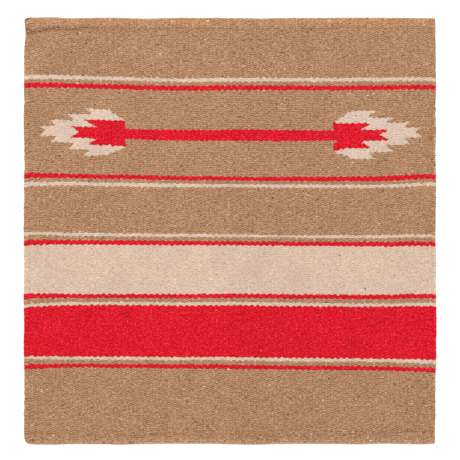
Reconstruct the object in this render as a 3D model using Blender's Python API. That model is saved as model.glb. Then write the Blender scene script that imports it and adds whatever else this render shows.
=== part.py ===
"""Hand-woven wool saddle blanket with stripes and a double-ended arrow.

The cloth lies flat, its underside on Z = 0 and its middle on the Z axis. The weft runs
along X and the warps along Y. It folds about a line along Y through its middle, which
is the horse's spine, so every piece of weft is in a left and a right length there.
Weft is a flat sleeve beaten down over the warps: two skins, tied through between them.
"""

import math

import bmesh
import bpy
from mathutils import Matrix, Vector

# Yarn and weave
WARP_PITCH = 0.00589  # from one rib to the next, 4.3 warps to the inch
WARPS_IN_HALF = 69  # ribs from the middle to either edge
COURSE = 0.00211  # height that one beaten-down course of weft adds
WARP_THICKNESS = 0.0020
WEFT_SKIN = 0.0017  # weft over and under the warps
CLEARANCE = 0.0003  # between the warps and the weft round them
PIECE_GAP = 0.0003  # between neighbouring lengths of weft

# Stripes from the top edge down: name, yarn, courses
STRIPES = (
    ("top_end_band", "tan", 10),
    ("top_field", "tan", 46),
    ("cream_line_1", "cream", 3),
    ("tan_line_1", "tan", 4),
    ("red_line_1", "red", 4),
    ("arrow_panel", "tan", 81),
    ("red_line_2", "red", 3),
    ("tan_line_2", "tan", 4),
    ("cream_line_2", "cream", 3),
    ("middle_field", "tan", 44),
    ("cream_line_3", "cream", 3),
    ("tan_line_3", "tan", 4),
    ("red_line_3", "red", 4),
    ("cream_band", "cream", 45),
    ("red_line_4", "red", 4),
    ("tan_line_4", "tan", 4),
    ("cream_line_4", "cream", 3),
    ("red_band", "red", 48),
    ("cream_line_5", "cream", 3),
    ("tan_line_5", "tan", 4),
    ("red_line_5", "red", 4),
    ("bottom_field", "tan", 58),
    ("bottom_end_band", "tan", 12),
)

# How far the courses climb away from the middle, as the beat of the comb varied: courses
# down from the top edge, then courses climbed at the left edge, quarter, middle, quarter
# and right edge
CLIMBS = (
    (0, (0, 0, 0, 0, 0)),
    (62, (2.8, 1.0, 0, 0, 1.2)),
    (154, (2.4, 1.3, 0, -0.7, 1.1)),
    (208, (1.5, 0.6, 0, -0.8, -0.2)),
    (264, (-0.6, 0.1, 0, -0.8, -0.3)),
    (323, (0.5, 0.6, 0, -1.3, -2.3)),
    (398, (0, 0, 0, 0, 0)),
)

# The arrow, on the weaver's count: warps out from the middle, courses above the foot of
# its panel. The two ends were counted separately and differ by a course or two.
SHAFT = ((0, 34), (35, 34), (35, 44), (0, 44))
HEADS = {
    "left": ((35, 51.5), (48.5, 50.5), (44.5, 45), (53, 45), (51, 40), (53, 35), (44.5, 34.5),
             (47, 29), (35, 27)),
    "right": ((35, 51), (47, 49), (44.5, 44), (53, 43.5), (50.5, 38.5), (53.5, 34.5),
              (44.5, 33), (47.5, 28), (38, 26), (35, 24)),
}
FEATHERS = {
    "left": ((35, 51), (38, 56), (40, 61), (49, 63), (46.5, 58), (54.5, 55), (53, 51), (60, 50),
             (58, 45), (64, 45), (61.5, 40), (64, 36), (58.5, 35), (60.5, 30), (53, 29.5),
             (54, 24.5), (47, 23.5), (49, 18), (42, 18), (35, 27)),
    "right": ((35, 51), (40, 60), (42, 61.5), (49, 61.5), (46.5, 56.5), (54.5, 54.5), (52.5, 50),
              (61, 50), (58.5, 45.5), (64, 44.5), (62.5, 40), (64.5, 35.5), (58.5, 35),
              (60.5, 30.5), (53, 28), (55, 24), (46.5, 22.5), (49, 16.5), (41.5, 16.5), (35, 24)),
}

# Edges
RIB_WIDTH = {"left": 0.0118, "right": 0.0080}  # heavy rib along each side edge
RIB_WARP_THICKNESS = 0.0028
SIDE_SKIN = 0.0017  # weft that turns round the outermost warp
END_SKIN = 0.0020  # last courses, past the turns of the warp
GROOVE_DEPTH = 0.0009  # beside the ribs, on both faces
EDGE_ROUND = 0.0024
TOP_CORNER = {"left": 0.006, "right": 0.003}
BOTTOM_CORNER = {"left": 0.011, "right": 0.003}
CORNER_STEPS = 4

# Warps inside the cloth: one yarn goes up and down the loom, and each run here is a group
RUNS = 4  # runs to a half, an even number, joined by turns at alternate ends
TIE = 0.003  # where the weft passes from face to face between the runs
TURN = 0.006  # depth of a turn of the warp

FOLD_DROP = 0.0005  # the fold line lies this far under the cloth
STATIONS = 2  # straight stretches in a stripe's edge, to a half
CUT_OVERRUN = 0.004  # cutters run past what they cut by this

SIDES = {"left": -1, "right": 1}
THICKNESS = WARP_THICKNESS + 2 * (WEFT_SKIN + CLEARANCE)
HALF_WIDTH = WARPS_IN_HALF * WARP_PITCH
COURSES = sum(courses for _, _, courses in STRIPES)
HALF_LENGTH = COURSES * COURSE / 2

YARNS = {  # colour, roughness
    "tan": ((0.46, 0.26, 0.14), 0.95),
    "cream": ((0.75, 0.60, 0.48), 0.95),
    "red": ((0.76, 0.013, 0.027), 0.92),
    "warp": ((0.42, 0.33, 0.25), 0.90),
}


def clear_scene():
    for thing in list(bpy.data.objects):
        bpy.data.objects.remove(thing, do_unlink=True)


def collection(name):
    group = bpy.data.collections.new(name)
    bpy.context.scene.collection.children.link(group)
    return group


def yarn_material(name):
    colour, roughness = YARNS[name]
    material = bpy.data.materials.new(f"{name}_wool")
    material.use_nodes = True
    shader = material.node_tree.nodes["Principled BSDF"]
    shader.inputs["Base Color"].default_value = (*colour, 1)
    shader.inputs["Roughness"].default_value = roughness
    shader.inputs["Metallic"].default_value = 0
    return material


def through(values, share):
    """A smooth curve through evenly spaced values, read at a share of its length."""
    place = share * (len(values) - 1)
    k = min(int(place), len(values) - 2)
    t = place - k
    a, b = values[k], values[k + 1]
    before = values[k - 1] if k else 2 * a - b
    after = values[k + 2] if k + 2 < len(values) else 2 * b - a
    bend = (2 * before - 5 * a + 4 * b - after) * t * t
    twist = (3 * a - before - 3 * b + after) * t**3
    return a + ((b - before) * t + bend + twist) / 2


def climb(x, courses):
    """Courses that the weft has climbed at x, on the line that many courses down."""
    share = (x / HALF_WIDTH + 1) / 2
    for (above, upper), (below, lower) in zip(CLIMBS, CLIMBS[1:]):
        if courses <= below:
            t = (courses - above) / (below - above)
            return (1 - t) * through(upper, share) + t * through(lower, share)
    return 0


def course_y(x, courses):
    return HALF_LENGTH - COURSE * (courses - climb(x, courses))


def counted(side, points):
    """Places in the cloth of points given in warps out and courses above the panel's foot."""
    foot = sum(courses for _, _, courses in STRIPES[: stripe_number("arrow_panel") + 1])
    places = []
    for warps, courses in points:
        x = SIDES[side] * warps * WARP_PITCH
        places.append((x, course_y(x, foot - courses)))
    return places


def stripe_number(name):
    return [stripe[0] for stripe in STRIPES].index(name)


def grown(outline, by):
    """The outline moved outwards all round, with mitred corners."""
    points = [Vector(point) for point in outline]
    following = points[1:] + points[:1]
    area = sum(a.cross(b) for a, b in zip(points, following))
    outward = math.copysign(by, area)
    moved = []
    for before, here, after in zip(points[-1:] + points[:-1], points, following):
        come = (here - before).normalized()
        go = (after - here).normalized()
        middle = Vector((come.y + go.y, -come.x - go.x))
        moved.append(here + middle * (2 * outward / middle.length_squared))
    return moved


def corner_radius(x, y):
    corners = TOP_CORNER if y > 0 else BOTTOM_CORNER
    return corners["right" if x > 0 else "left"]


def corner_arc(side, end):
    """Round corner of the cloth, from its side edge to its end edge."""
    x, y = SIDES[side] * HALF_WIDTH, end * HALF_LENGTH
    radius = corner_radius(x, y)
    arc = []
    for step in range(CORNER_STEPS + 1):
        angle = math.pi / 2 * step / CORNER_STEPS
        inward = radius * (1 - math.cos(angle)), radius * (1 - math.sin(angle))
        arc.append((x - SIDES[side] * inward[0], y - end * inward[1]))
    return arc


def weft_line(side, courses, gap):
    """Edge of a stripe from the fold to the side of the cloth, drawn down by a gap."""
    sign = SIDES[side]
    inner = sign * PIECE_GAP / 2
    xs = [inner + (sign * HALF_WIDTH - inner) * k / STATIONS for k in range(STATIONS + 1)]
    return [(x, course_y(x, courses) - gap) for x in xs]


def stripe_outline(side, upper, lower):
    """Outline of a length of weft, between lines that many courses down."""
    if upper == 0:
        top = [(SIDES[side] * PIECE_GAP / 2, HALF_LENGTH)] + corner_arc(side, 1)[::-1]
    else:
        top = weft_line(side, upper, PIECE_GAP / 2)
    if lower == COURSES:
        bottom = [(SIDES[side] * PIECE_GAP / 2, -HALF_LENGTH)] + corner_arc(side, -1)[::-1]
    else:
        bottom = weft_line(side, lower, -PIECE_GAP / 2)
    return bottom + top[::-1]


def run_edges(side):
    """The x of both edges of each run of the warp, from the fold outwards."""
    pitch = (HALF_WIDTH - RIB_WIDTH[side]) / RUNS
    inset = TIE / 2 + CLEARANCE
    return [
        (SIDES[side] * (pitch * k + inset), SIDES[side] * (pitch * (k + 1) - inset))
        for k in range(RUNS)
    ]


def warp_outline(side):
    """One yarn up and down the half: runs in pairs, turned at alternate ends."""
    runs = run_edges(side)
    end = HALF_LENGTH - END_SKIN - CLEARANCE
    turn = end - TURN
    outline = [(runs[0][0], -end)]
    for k in range(0, RUNS, 2):
        outline += [(runs[k][0], end), (runs[k + 1][1], end)]
        if k + 2 < RUNS:
            outline += [(runs[k + 1][1], -turn), (runs[k + 2][0], -turn)]
    outline.append((runs[-1][1], -end))
    for k in range(RUNS - 1, 0, -2):
        outline += [(runs[k][0], -end), (runs[k][0], turn)]
        outline += [(runs[k - 1][1], turn), (runs[k - 1][1], -end)]
    return outline


def rib_outline(side):
    """The heavy warp of a side edge, which stops where the corner begins to round."""
    outer = SIDES[side] * (HALF_WIDTH - SIDE_SKIN - CLEARANCE)
    inner = SIDES[side] * (HALF_WIDTH - RIB_WIDTH[side] + TIE / 2 + CLEARANCE)
    top = HALF_LENGTH - CLEARANCE - max(END_SKIN, TOP_CORNER[side])
    bottom = CLEARANCE + max(END_SKIN, BOTTOM_CORNER[side]) - HALF_LENGTH
    return [(inner, bottom), (outer, bottom), (outer, top), (inner, top)]


def on_rim(point):
    """Whether a place lies on the outer edge of the whole cloth."""
    radius = corner_radius(point.x, point.y)
    past_x = max(abs(point.x) - HALF_WIDTH + radius, 0)
    past_y = max(abs(point.y) - HALF_LENGTH + radius, 0)
    return abs(math.hypot(past_x, past_y) - radius) < CLEARANCE / 4


def plate(name, outline, thickness, group):
    """A flat piece of the given outline, centred on the middle of the cloth's thickness."""
    curve = bpy.data.curves.new(name, "CURVE")
    curve.dimensions = "2D"
    curve.fill_mode = "BOTH"
    curve.extrude = thickness / 2
    spline = curve.splines.new("POLY")
    spline.points.add(len(outline) - 1)
    spline.use_cyclic_u = True
    for point, (x, y) in zip(spline.points, outline):
        point.co = (x, y, 0, 1)
    drawn = bpy.data.objects.new(name, curve)
    drawn.location.z = THICKNESS / 2
    group.objects.link(drawn)
    depsgraph = bpy.context.evaluated_depsgraph_get()
    mesh = bpy.data.meshes.new_from_object(drawn.evaluated_get(depsgraph))
    place = drawn.matrix_world.copy()
    bpy.data.objects.remove(drawn)
    bpy.data.curves.remove(curve)
    bm = bmesh.new()
    bm.from_mesh(mesh)
    bmesh.ops.remove_doubles(bm, verts=bm.verts, dist=CLEARANCE / 10)
    bmesh.ops.dissolve_limit(bm, angle_limit=math.radians(0.1), verts=bm.verts, edges=bm.edges)
    bmesh.ops.recalc_face_normals(bm, faces=bm.faces)
    bm.to_mesh(mesh)
    bm.free()
    mesh.name = name
    piece = bpy.data.objects.new(name, mesh)
    piece.matrix_world = place
    group.objects.link(piece)
    return piece


def round_rim(piece):
    """Rounds the piece where the cloth's own outer edge is, on both faces."""
    bm = bmesh.new()
    bm.from_mesh(piece.data)
    rim = [
        edge
        for edge in bm.edges
        if all(on_rim(vert.co) for vert in edge.verts)
        and edge.verts[0].co.z * edge.verts[1].co.z > 0
        and not edge.is_boundary
        and any(abs(face.normal.z) > 0.5 for face in edge.link_faces)
    ]
    bmesh.ops.bevel(
        bm, geom=rim, affect="EDGES", offset=EDGE_ROUND, offset_type="OFFSET", segments=2,
        profile=0.5, material=-1, clamp_overlap=False,
    )
    bm.to_mesh(piece.data)
    bm.free()


def cut(piece, *cutters):
    for cutter in cutters:
        modifier = piece.modifiers.new(cutter.name, "BOOLEAN")
        modifier.operation = "DIFFERENCE"
        modifier.solver = "EXACT"
        modifier.object = cutter


def as_cutter(piece):
    piece.hide_render = True
    piece.display_type = "WIRE"
    return piece


def channel(name, outline, thickness, group):
    """Cutter for the room that a warp takes in the weft."""
    room = plate(name, grown(outline, CLEARANCE), thickness + 2 * CLEARANCE, group)
    return as_cutter(room)


def through_cutter(name, outline, group):
    """Cutter of an outline grown by the gap between pieces, right through the cloth."""
    return as_cutter(plate(name, grown(outline, PIECE_GAP), THICKNESS + CUT_OVERRUN, group))


def groove_cutter(side, group):
    """Square bars on edge, sunk along both faces beside the side rib."""
    bm = bmesh.new()
    width = GROOVE_DEPTH * math.sqrt(2)
    length = 2 * (HALF_LENGTH + CUT_OVERRUN)
    x = SIDES[side] * (HALF_WIDTH - RIB_WIDTH[side])
    for z in (0, THICKNESS):
        bar = Matrix.Translation((x, 0, z)) @ Matrix.Rotation(math.pi / 4, 4, "Y")
        bmesh.ops.create_cube(bm, matrix=bar @ Matrix.Diagonal((width, length, width, 1)))
    mesh = bpy.data.meshes.new(f"groove_{side}")
    bm.to_mesh(mesh)
    bm.free()
    piece = bpy.data.objects.new(mesh.name, mesh)
    group.objects.link(piece)
    return as_cutter(piece)


def finish(piece, yarn, hold):
    """Gives the piece its yarn and hangs it on the half that carries it."""
    piece.data.materials.append(yarn)
    piece.parent = hold
    piece.matrix_parent_inverse = hold.matrix_world.inverted()


def halves_hold(name, parts):
    """An empty on the fold line, which one half of the cloth turns with."""
    hold = bpy.data.objects.new(name, None)
    hold.location = (0, 0, -FOLD_DROP)
    parts.objects.link(hold)
    bpy.context.view_layer.update()
    return hold


def weave_arrow(side, panel, yarns, hold, inner, parts, cutters):
    """The arrow's shaft, head and feathers on one side, let into the tan panel."""
    sign = SIDES[side]
    reach = max(warps for warps, _ in SHAFT)
    foot, top = min(courses for _, courses in SHAFT), max(courses for _, courses in SHAFT)
    steps = [reach * k / STATIONS for k in range(STATIONS + 1)]
    count = [(warps, foot) for warps in steps] + [(warps, top) for warps in steps[::-1]]
    shaft_outline = counted(side, count)
    trimmed = [(sign * max(abs(x), PIECE_GAP / 2), y) for x, y in shaft_outline]
    head_outline = counted(side, HEADS[side])
    feather_outline = counted(side, FEATHERS[side])
    shaft = plate(f"arrow_shaft_{side}", trimmed, THICKNESS, parts)
    head = plate(f"arrow_head_{side}", head_outline, THICKNESS, parts)
    feathers = plate(f"arrow_feathers_{side}", feather_outline, THICKNESS, parts)
    for_head = through_cutter(f"head_room_{side}", head_outline, cutters)
    for_shaft = through_cutter(f"shaft_room_{side}", shaft_outline, cutters)
    for_feathers = through_cutter(f"feathers_room_{side}", feather_outline, cutters)
    cut(shaft, for_head, *inner)
    cut(head, *inner)
    cut(feathers, for_head, *inner)
    cut(panel, for_feathers, for_head, for_shaft)
    finish(shaft, yarns["red"], hold)
    finish(head, yarns["red"], hold)
    finish(feathers, yarns["cream"], hold)


def weave_half(side, yarns, parts, cutters):
    """Everything on one side of the fold: the warps, then the weft stripe by stripe."""
    hold = halves_hold(f"{side}_half", parts)
    warp = plate(f"warp_{side}", warp_outline(side), WARP_THICKNESS, parts)
    rib = plate(f"edge_warp_{side}", rib_outline(side), RIB_WARP_THICKNESS, parts)
    finish(warp, yarns["warp"], hold)
    finish(rib, yarns["warp"], hold)
    inner = (
        channel(f"warp_room_{side}", warp_outline(side), WARP_THICKNESS, cutters),
        channel(f"edge_warp_room_{side}", rib_outline(side), RIB_WARP_THICKNESS, cutters),
    )
    groove = groove_cutter(side, cutters)
    down = 0
    for name, yarn, courses in STRIPES:
        outline = stripe_outline(side, down, down + courses)
        weft = plate(f"{name}_{side}", outline, THICKNESS, parts)
        round_rim(weft)
        cut(weft, *inner, groove)
        finish(weft, yarns[yarn], hold)
        if name == "arrow_panel":
            weave_arrow(side, weft, yarns, hold, inner, parts, cutters)
        down += courses


clear_scene()
blanket = collection("saddle_blanket")
cutting = collection("cutters")
wool = {name: yarn_material(name) for name in YARNS}
for half in SIDES:
    weave_half(half, wool, blanket, cutting)
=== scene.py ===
import math

import bmesh
import bpy
import numpy as np
from mathutils import Matrix, Vector


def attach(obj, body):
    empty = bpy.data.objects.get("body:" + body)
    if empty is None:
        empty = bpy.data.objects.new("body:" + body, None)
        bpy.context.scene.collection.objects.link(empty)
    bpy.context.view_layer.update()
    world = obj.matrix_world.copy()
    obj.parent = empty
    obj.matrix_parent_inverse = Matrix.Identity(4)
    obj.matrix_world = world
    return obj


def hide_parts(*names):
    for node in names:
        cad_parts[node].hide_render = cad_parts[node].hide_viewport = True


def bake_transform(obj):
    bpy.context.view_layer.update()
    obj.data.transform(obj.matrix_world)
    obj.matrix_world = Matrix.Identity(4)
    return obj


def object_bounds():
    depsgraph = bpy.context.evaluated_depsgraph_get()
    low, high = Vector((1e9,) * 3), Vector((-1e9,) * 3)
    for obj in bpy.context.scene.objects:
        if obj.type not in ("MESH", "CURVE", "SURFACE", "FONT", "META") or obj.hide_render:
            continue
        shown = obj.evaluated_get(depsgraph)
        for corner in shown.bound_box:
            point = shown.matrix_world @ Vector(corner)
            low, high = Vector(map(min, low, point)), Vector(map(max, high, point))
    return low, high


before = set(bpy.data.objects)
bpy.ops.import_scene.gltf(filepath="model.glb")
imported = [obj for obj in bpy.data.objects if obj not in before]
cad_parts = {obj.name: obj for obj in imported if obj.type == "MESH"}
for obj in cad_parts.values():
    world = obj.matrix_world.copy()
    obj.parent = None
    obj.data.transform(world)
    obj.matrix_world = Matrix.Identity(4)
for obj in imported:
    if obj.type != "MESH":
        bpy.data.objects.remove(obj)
cad_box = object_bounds()

# Camera
# The photograph looks straight down on the blanket, its length up the picture. The
# blanket lies a little below the picture's middle, and a hair to the left of it.
CLOTH_LENGTH = cad_box[1].y - cad_box[0].y
PICTURE_PIXELS = 460
CLOTH_PIXELS = 425.6  # the blanket's length in the photograph
PICTURE_SIDE = CLOTH_LENGTH * PICTURE_PIXELS / CLOTH_PIXELS
OFF_MIDDLE = (0.0005, 0.0019)  # from the blanket's middle to the picture's
LENS = 100  # millimetres, as the sensor is
SENSOR = 36


def in_scene(name, data):
    """A new object of that name, which shows a camera, lamp, curve or mesh."""
    made = bpy.data.objects.new(name, data)
    bpy.context.collection.objects.link(made)
    return made


camera_data = bpy.data.cameras.new("camera")
camera_data.lens = LENS
camera_data.sensor_width = SENSOR
camera = in_scene("camera", camera_data)
camera.location = (*OFF_MIDDLE, PICTURE_SIDE * LENS / SENSOR + cad_box[1].z)
bpy.context.scene.camera = camera
bpy.context.scene.view_settings.view_transform = "Standard"

# Floor and studio light
# A plain pale floor, seen as white but still darkened where the blanket keeps light off
# it. One large soft lamp stands up the picture, a little to the left, and the room fills in.
FLOOR_SIDE = 12
FLOOR_DROP = 0.0006  # below the blanket, to clear its beads
FLOOR_COLOUR = (0.62, 0.62, 0.61, 1)
FLOOR_GLOW = 0.52  # added where the floor is looked at
WHITE = (1, 1, 1, 1)
LAMP_SIDE = 3.6
LAMP_PLACE = (-0.9, 4.0, 7.0)
LAMP_WATTS = 440
ROOM_LIGHT = 0.60


def wired(tree, node, inputs):
    """The node, with its inputs linked or set."""
    for name, value in inputs.items():
        if isinstance(value, bpy.types.NodeSocket):
            tree.links.new(value, node.inputs[name])
        else:
            node.inputs[name].default_value = value
    return node


def linked(tree, kind, inputs, **settings):
    """A new node with its settings and inputs."""
    node = tree.nodes.new(kind)
    for name, value in settings.items():
        setattr(node, name, value)
    return wired(tree, node, inputs)


def maths(tree, operation, *values):
    """What a math node makes of some numbers or sockets."""
    inputs = dict(enumerate(values))
    return linked(tree, "ShaderNodeMath", inputs, operation=operation).outputs[0]


def shown_white(tree):
    """1 on camera, glossy and transmission rays, and 0 on the rays that light things."""
    rays = tree.nodes.new("ShaderNodeLightPath").outputs
    seen = maths(tree, "MAXIMUM", rays["Is Camera Ray"], rays["Is Glossy Ray"])
    return maths(tree, "MAXIMUM", seen, rays["Is Transmission Ray"])


def principled(name, roughness, shine):
    """A new material, with its node tree and its shader."""
    material = bpy.data.materials.new(name)
    material.use_nodes = True
    tree = material.node_tree
    shader = tree.nodes["Principled BSDF"]
    wired(tree, shader, {"Roughness": roughness, "Specular IOR Level": shine})
    return material, tree, shader


def floor_material():
    material, tree, shader = principled("pale_floor", roughness=0.9, shine=0)
    glow = maths(tree, "MULTIPLY", shown_white(tree), FLOOR_GLOW)
    wired(tree, shader, {"Base Color": FLOOR_COLOUR, "Emission Color": WHITE,
                         "Emission Strength": glow})
    return material


floor_mesh = bpy.data.meshes.new("floor")
bm = bmesh.new()
bmesh.ops.create_grid(bm, x_segments=1, y_segments=1, size=FLOOR_SIDE / 2,
                      matrix=Matrix.Translation((0, 0, -FLOOR_DROP)))
bm.to_mesh(floor_mesh)
bm.free()
floor_mesh.materials.append(floor_material())
floor = in_scene("floor", floor_mesh)

lamp_data = bpy.data.lights.new("soft_lamp", "AREA")
lamp_data.size = LAMP_SIDE
lamp_data.energy = LAMP_WATTS
lamp = in_scene("soft_lamp", lamp_data)
lamp.location = LAMP_PLACE
lamp.rotation_euler = (-Vector(LAMP_PLACE)).to_track_quat("-Z", "Y").to_euler()

world = bpy.data.worlds.new("studio")
bpy.context.scene.world = world
world.use_nodes = True
sky = world.node_tree
seen = linked(sky, "ShaderNodeMixRGB", {0: shown_white(sky),
              1: (ROOM_LIGHT, ROOM_LIGHT, ROOM_LIGHT, 1), 2: WHITE})
wired(sky, sky.nodes["Background"], {"Color": seen.outputs[0]})

# Warp
# One hard-spun wool yarn, strung up and down the loom and turned at each end inside the
# end bands, so the blanket has no fringe. The weft is beaten down over it and hides it.
WARPS = 138
WARP_PITCH = 0.00589
COURSES = 398
COURSE = 0.00211
HALF_WIDTH = WARPS / 2 * WARP_PITCH
HALF_LENGTH = COURSES * COURSE / 2
MIDDLE = 0.003  # height of the middle of the cloth's thickness
LEFT_RIBS = (0.0118, 0.0084)  # the two heavy ribs of the left side, from the edge inwards
RIGHT_RIBS = (0.0080,)
COLUMNS_LEFT = 66  # plain ribs from the middle to the heavy ones
COLUMNS_RIGHT = 68
WARP_RADIUS = 0.0009
WARP_SIDES = 4  # it is buried in the cloth
WARP_INSET = 0.0035  # from the turns to the end edge of the cloth
WOOL_SHINE = 0.15


def rib_edges():
    """The x of each line between ribs, from the left edge to the right."""
    left = np.cumsum((0, *LEFT_RIBS)) - HALF_WIDTH
    right = HALF_WIDTH - np.cumsum((0, *RIGHT_RIBS))[::-1]
    plain_left = np.linspace(left[-1], 0, COLUMNS_LEFT + 1)[1:]
    plain_right = np.linspace(0, right[0], COLUMNS_RIGHT + 1)[1:]
    return np.concatenate((left, plain_left, plain_right, right[1:]))


def bumped(tree, shader, height, strength, distance):
    """Give the shader fibres that stand up as the height says."""
    bump = linked(tree, "ShaderNodeBump",
                  {"Height": height, "Strength": strength, "Distance": distance})
    wired(tree, shader, {"Normal": bump.outputs["Normal"]})


def warp_material():
    """Natural wool, spun hard: pale and dark plies wind round the yarn."""
    material, tree, shader = principled("warp_wool", roughness=0.85, shine=WOOL_SHINE)
    place = tree.nodes.new("ShaderNodeTexCoord").outputs["Object"]
    plies = linked(tree, "ShaderNodeTexWave", {"Vector": place, "Scale": 160, "Distortion": 1.5},
                   bands_direction="DIAGONAL").outputs["Fac"]
    tone = linked(tree, "ShaderNodeValToRGB", {"Fac": plies})
    tone.color_ramp.elements[0].color = (0.24, 0.17, 0.12, 1)
    tone.color_ramp.elements[1].color = (0.50, 0.40, 0.30, 1)
    wired(tree, shader, {"Base Color": tone.outputs["Color"]})
    bumped(tree, shader, plies, strength=0.6, distance=0.0003)
    return material


def faced_outwards(mesh, weld=0):
    """Make points that lie closer than the weld one, and turn all faces outwards."""
    bm = bmesh.new()
    bm.from_mesh(mesh)
    if weld:
        bmesh.ops.remove_doubles(bm, verts=bm.verts, dist=weld)
    bmesh.ops.recalc_face_normals(bm, faces=bm.faces)
    bm.to_mesh(mesh)
    bm.free()


def yarn(name, points, radius, sides, material):
    """A round yarn along the points, as a mesh with closed ends."""
    curve = bpy.data.curves.new(name, "CURVE")
    curve.dimensions = "3D"
    curve.bevel_depth = radius
    curve.bevel_resolution = (sides - 4) // 2
    curve.use_fill_caps = True
    spline = curve.splines.new("POLY")
    spline.points.add(len(points) - 1)
    for point, place in zip(spline.points, points):
        point.co = (*place, 1)
    drawn = in_scene(name, curve)
    depsgraph = bpy.context.evaluated_depsgraph_get()
    mesh = bpy.data.meshes.new_from_object(drawn.evaluated_get(depsgraph))
    bpy.data.objects.remove(drawn)
    bpy.data.curves.remove(curve)
    faced_outwards(mesh, radius / 100)
    mesh.shade_smooth()
    mesh.name = name
    mesh.materials.clear()
    mesh.materials.append(material)
    return in_scene(name, mesh)


def strung(middles):
    """Route of a yarn that runs up one rib and down the next."""
    end = HALF_LENGTH - WARP_INSET
    route = []
    for k, x in enumerate(middles):
        up = (-1) ** k
        route += [(x, -end * up, MIDDLE), (x, end * up, MIDDLE)]
    return route


def declare(piece, slot, *nodes, body=None):
    """Hide the parts that a piece stands for, and attach it to its body or else fix its place in its
    mesh; the slot is not used.
    """
    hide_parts(*nodes)
    if body:
        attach(piece, body)
    else:
        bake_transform(piece)


ribs = rib_edges()
COLUMNS = len(ribs) - 1
rib_middles = (ribs[:-1] + ribs[1:]) / 2
warp_wool = warp_material()
warp_route = strung(rib_middles[len(LEFT_RIBS):-len(RIGHT_RIBS)])
warp = yarn("warp", warp_route, WARP_RADIUS, WARP_SIDES, warp_wool)
declare(warp, "warp_yarn", "warp_left", "warp_right")

# Side ribs
# The outermost warps are heavier and lie two to a rib, so that the sides wear well. They
# follow the edge's own wander, and the weft turns round them.
EDGE_WARP_RADIUS = 0.0013
YARN_SIDES = 6
CORNER_INSET = 0.014  # the heavy warps stop short of the rounded corners
EDGE_STEPS = 40
LEFT_PAIR = (0.32, 0.68)  # where the two lie, as shares of their rib from the edge inwards
RIGHT_PAIR = (0.40, 0.78)

# Wander of the outline outwards, as the cloth drew in unevenly on the loom: of the sides
# from the top down, and of the ends from left to right
WANDER_UNIT = 0.001
LEFT_WANDER = (
    -0.9, -3, -0.4, -0.2, 0, -0.7, 0.8, 0.4, -0.4, -1.4, 0.6, -0.4, 0.2, 0.6, 0.6, -0.6, -0.5,
    0.7, 0.3, -0.2, 0.8, 0.2, -0.7, -0.7, -0.3, -0.3, -0.7)
RIGHT_WANDER = (
    -0.3, -0.3, 0.5, 0.9, 1.1, 0.2, 0.2, 1, -0.4, 0, 1.5, 0.8, 0.5, 0, 0.2, 1.6, 0.3, 1.3, 1.9,
    1.8, 1.5, 1.4, -0.1, -0.7, -0.4, -1.1, -1.1)
TOP_WANDER = (
    1.1, 2.2, 2.1, 0.3, 1.1, 1.5, 1.6, 0, -0.2, 0.5, 1.5, 1.3, 1.3, 0.5, 0.7, -0.2, 0.6, 1.1,
    0.9, 1.2, 1.5, 1.5, 1.5, 1.4, 1.2, 0.5, 0.2)
BOTTOM_WANDER = (
    0.5, 1.5, 1.8, 0.5, 0.5, 0.7, 2, 0.7, 0.4, -0.1, -0.1, -0.1, 0, 0.9, 1.8, 1.6, 0.3, 0.1,
    0.2, 0.3, 0.4, 1.1, 0.3, -0.2, 0.4, 1.1, 0.1)
WANDER_REACH = 0.07  # how far in from an edge its wander is felt


def eased(values, share):
    """A smooth line through evenly spaced values, read at shares of its length."""
    values = np.array(values, float)
    place = np.clip(share, 0, 1) * (len(values) - 1)
    k = np.minimum(place.astype(int), len(values) - 2)
    t = place - k
    return values[k] + (values[k + 1] - values[k]) * t * t * (3 - 2 * t)


def wandered(x, y):
    """Places with the outline's wander added, most at the edges and fading inwards."""
    down = 0.5 - y / (2 * HALF_LENGTH)
    across = 0.5 + x / (2 * HALF_WIDTH)
    left = np.exp(-((x + HALF_WIDTH) / WANDER_REACH).clip(0))
    right = np.exp(-((HALF_WIDTH - x) / WANDER_REACH).clip(0))
    top = np.exp(-((HALF_LENGTH - y) / WANDER_REACH).clip(0))
    bottom = np.exp(-((y + HALF_LENGTH) / WANDER_REACH).clip(0))
    aside = eased(RIGHT_WANDER, down) * right - eased(LEFT_WANDER, down) * left
    upwards = eased(TOP_WANDER, across) * top - eased(BOTTOM_WANDER, across) * bottom
    return x + aside * WANDER_UNIT, y + upwards * WANDER_UNIT


def edge_warps(name, middles, node, body):
    """The heavy warps of one side, as one yarn that runs up and down along them."""
    end = HALF_LENGTH - CORNER_INSET
    route = []
    for k, x in enumerate(middles):
        down = np.linspace(end, -end, EDGE_STEPS) * (-1) ** k
        there, along = wandered(np.full(EDGE_STEPS, x), down)
        route += [(a, b, MIDDLE) for a, b in zip(there, along)]
    piece = yarn(name, route, EDGE_WARP_RADIUS, YARN_SIDES, warp_wool)
    declare(piece, "warp_yarn", node, body=body)


left_pair = [ribs[0] + LEFT_RIBS[0] * share for share in LEFT_PAIR]
right_pair = [ribs[-1] - RIGHT_RIBS[0] * share for share in RIGHT_PAIR]
edge_warps("edge_warps_left", left_pair + [rib_middles[1]], "edge_warp_left", "left_half")
edge_warps("edge_warps_right", right_pair, "edge_warp_right", "right_half")

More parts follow.
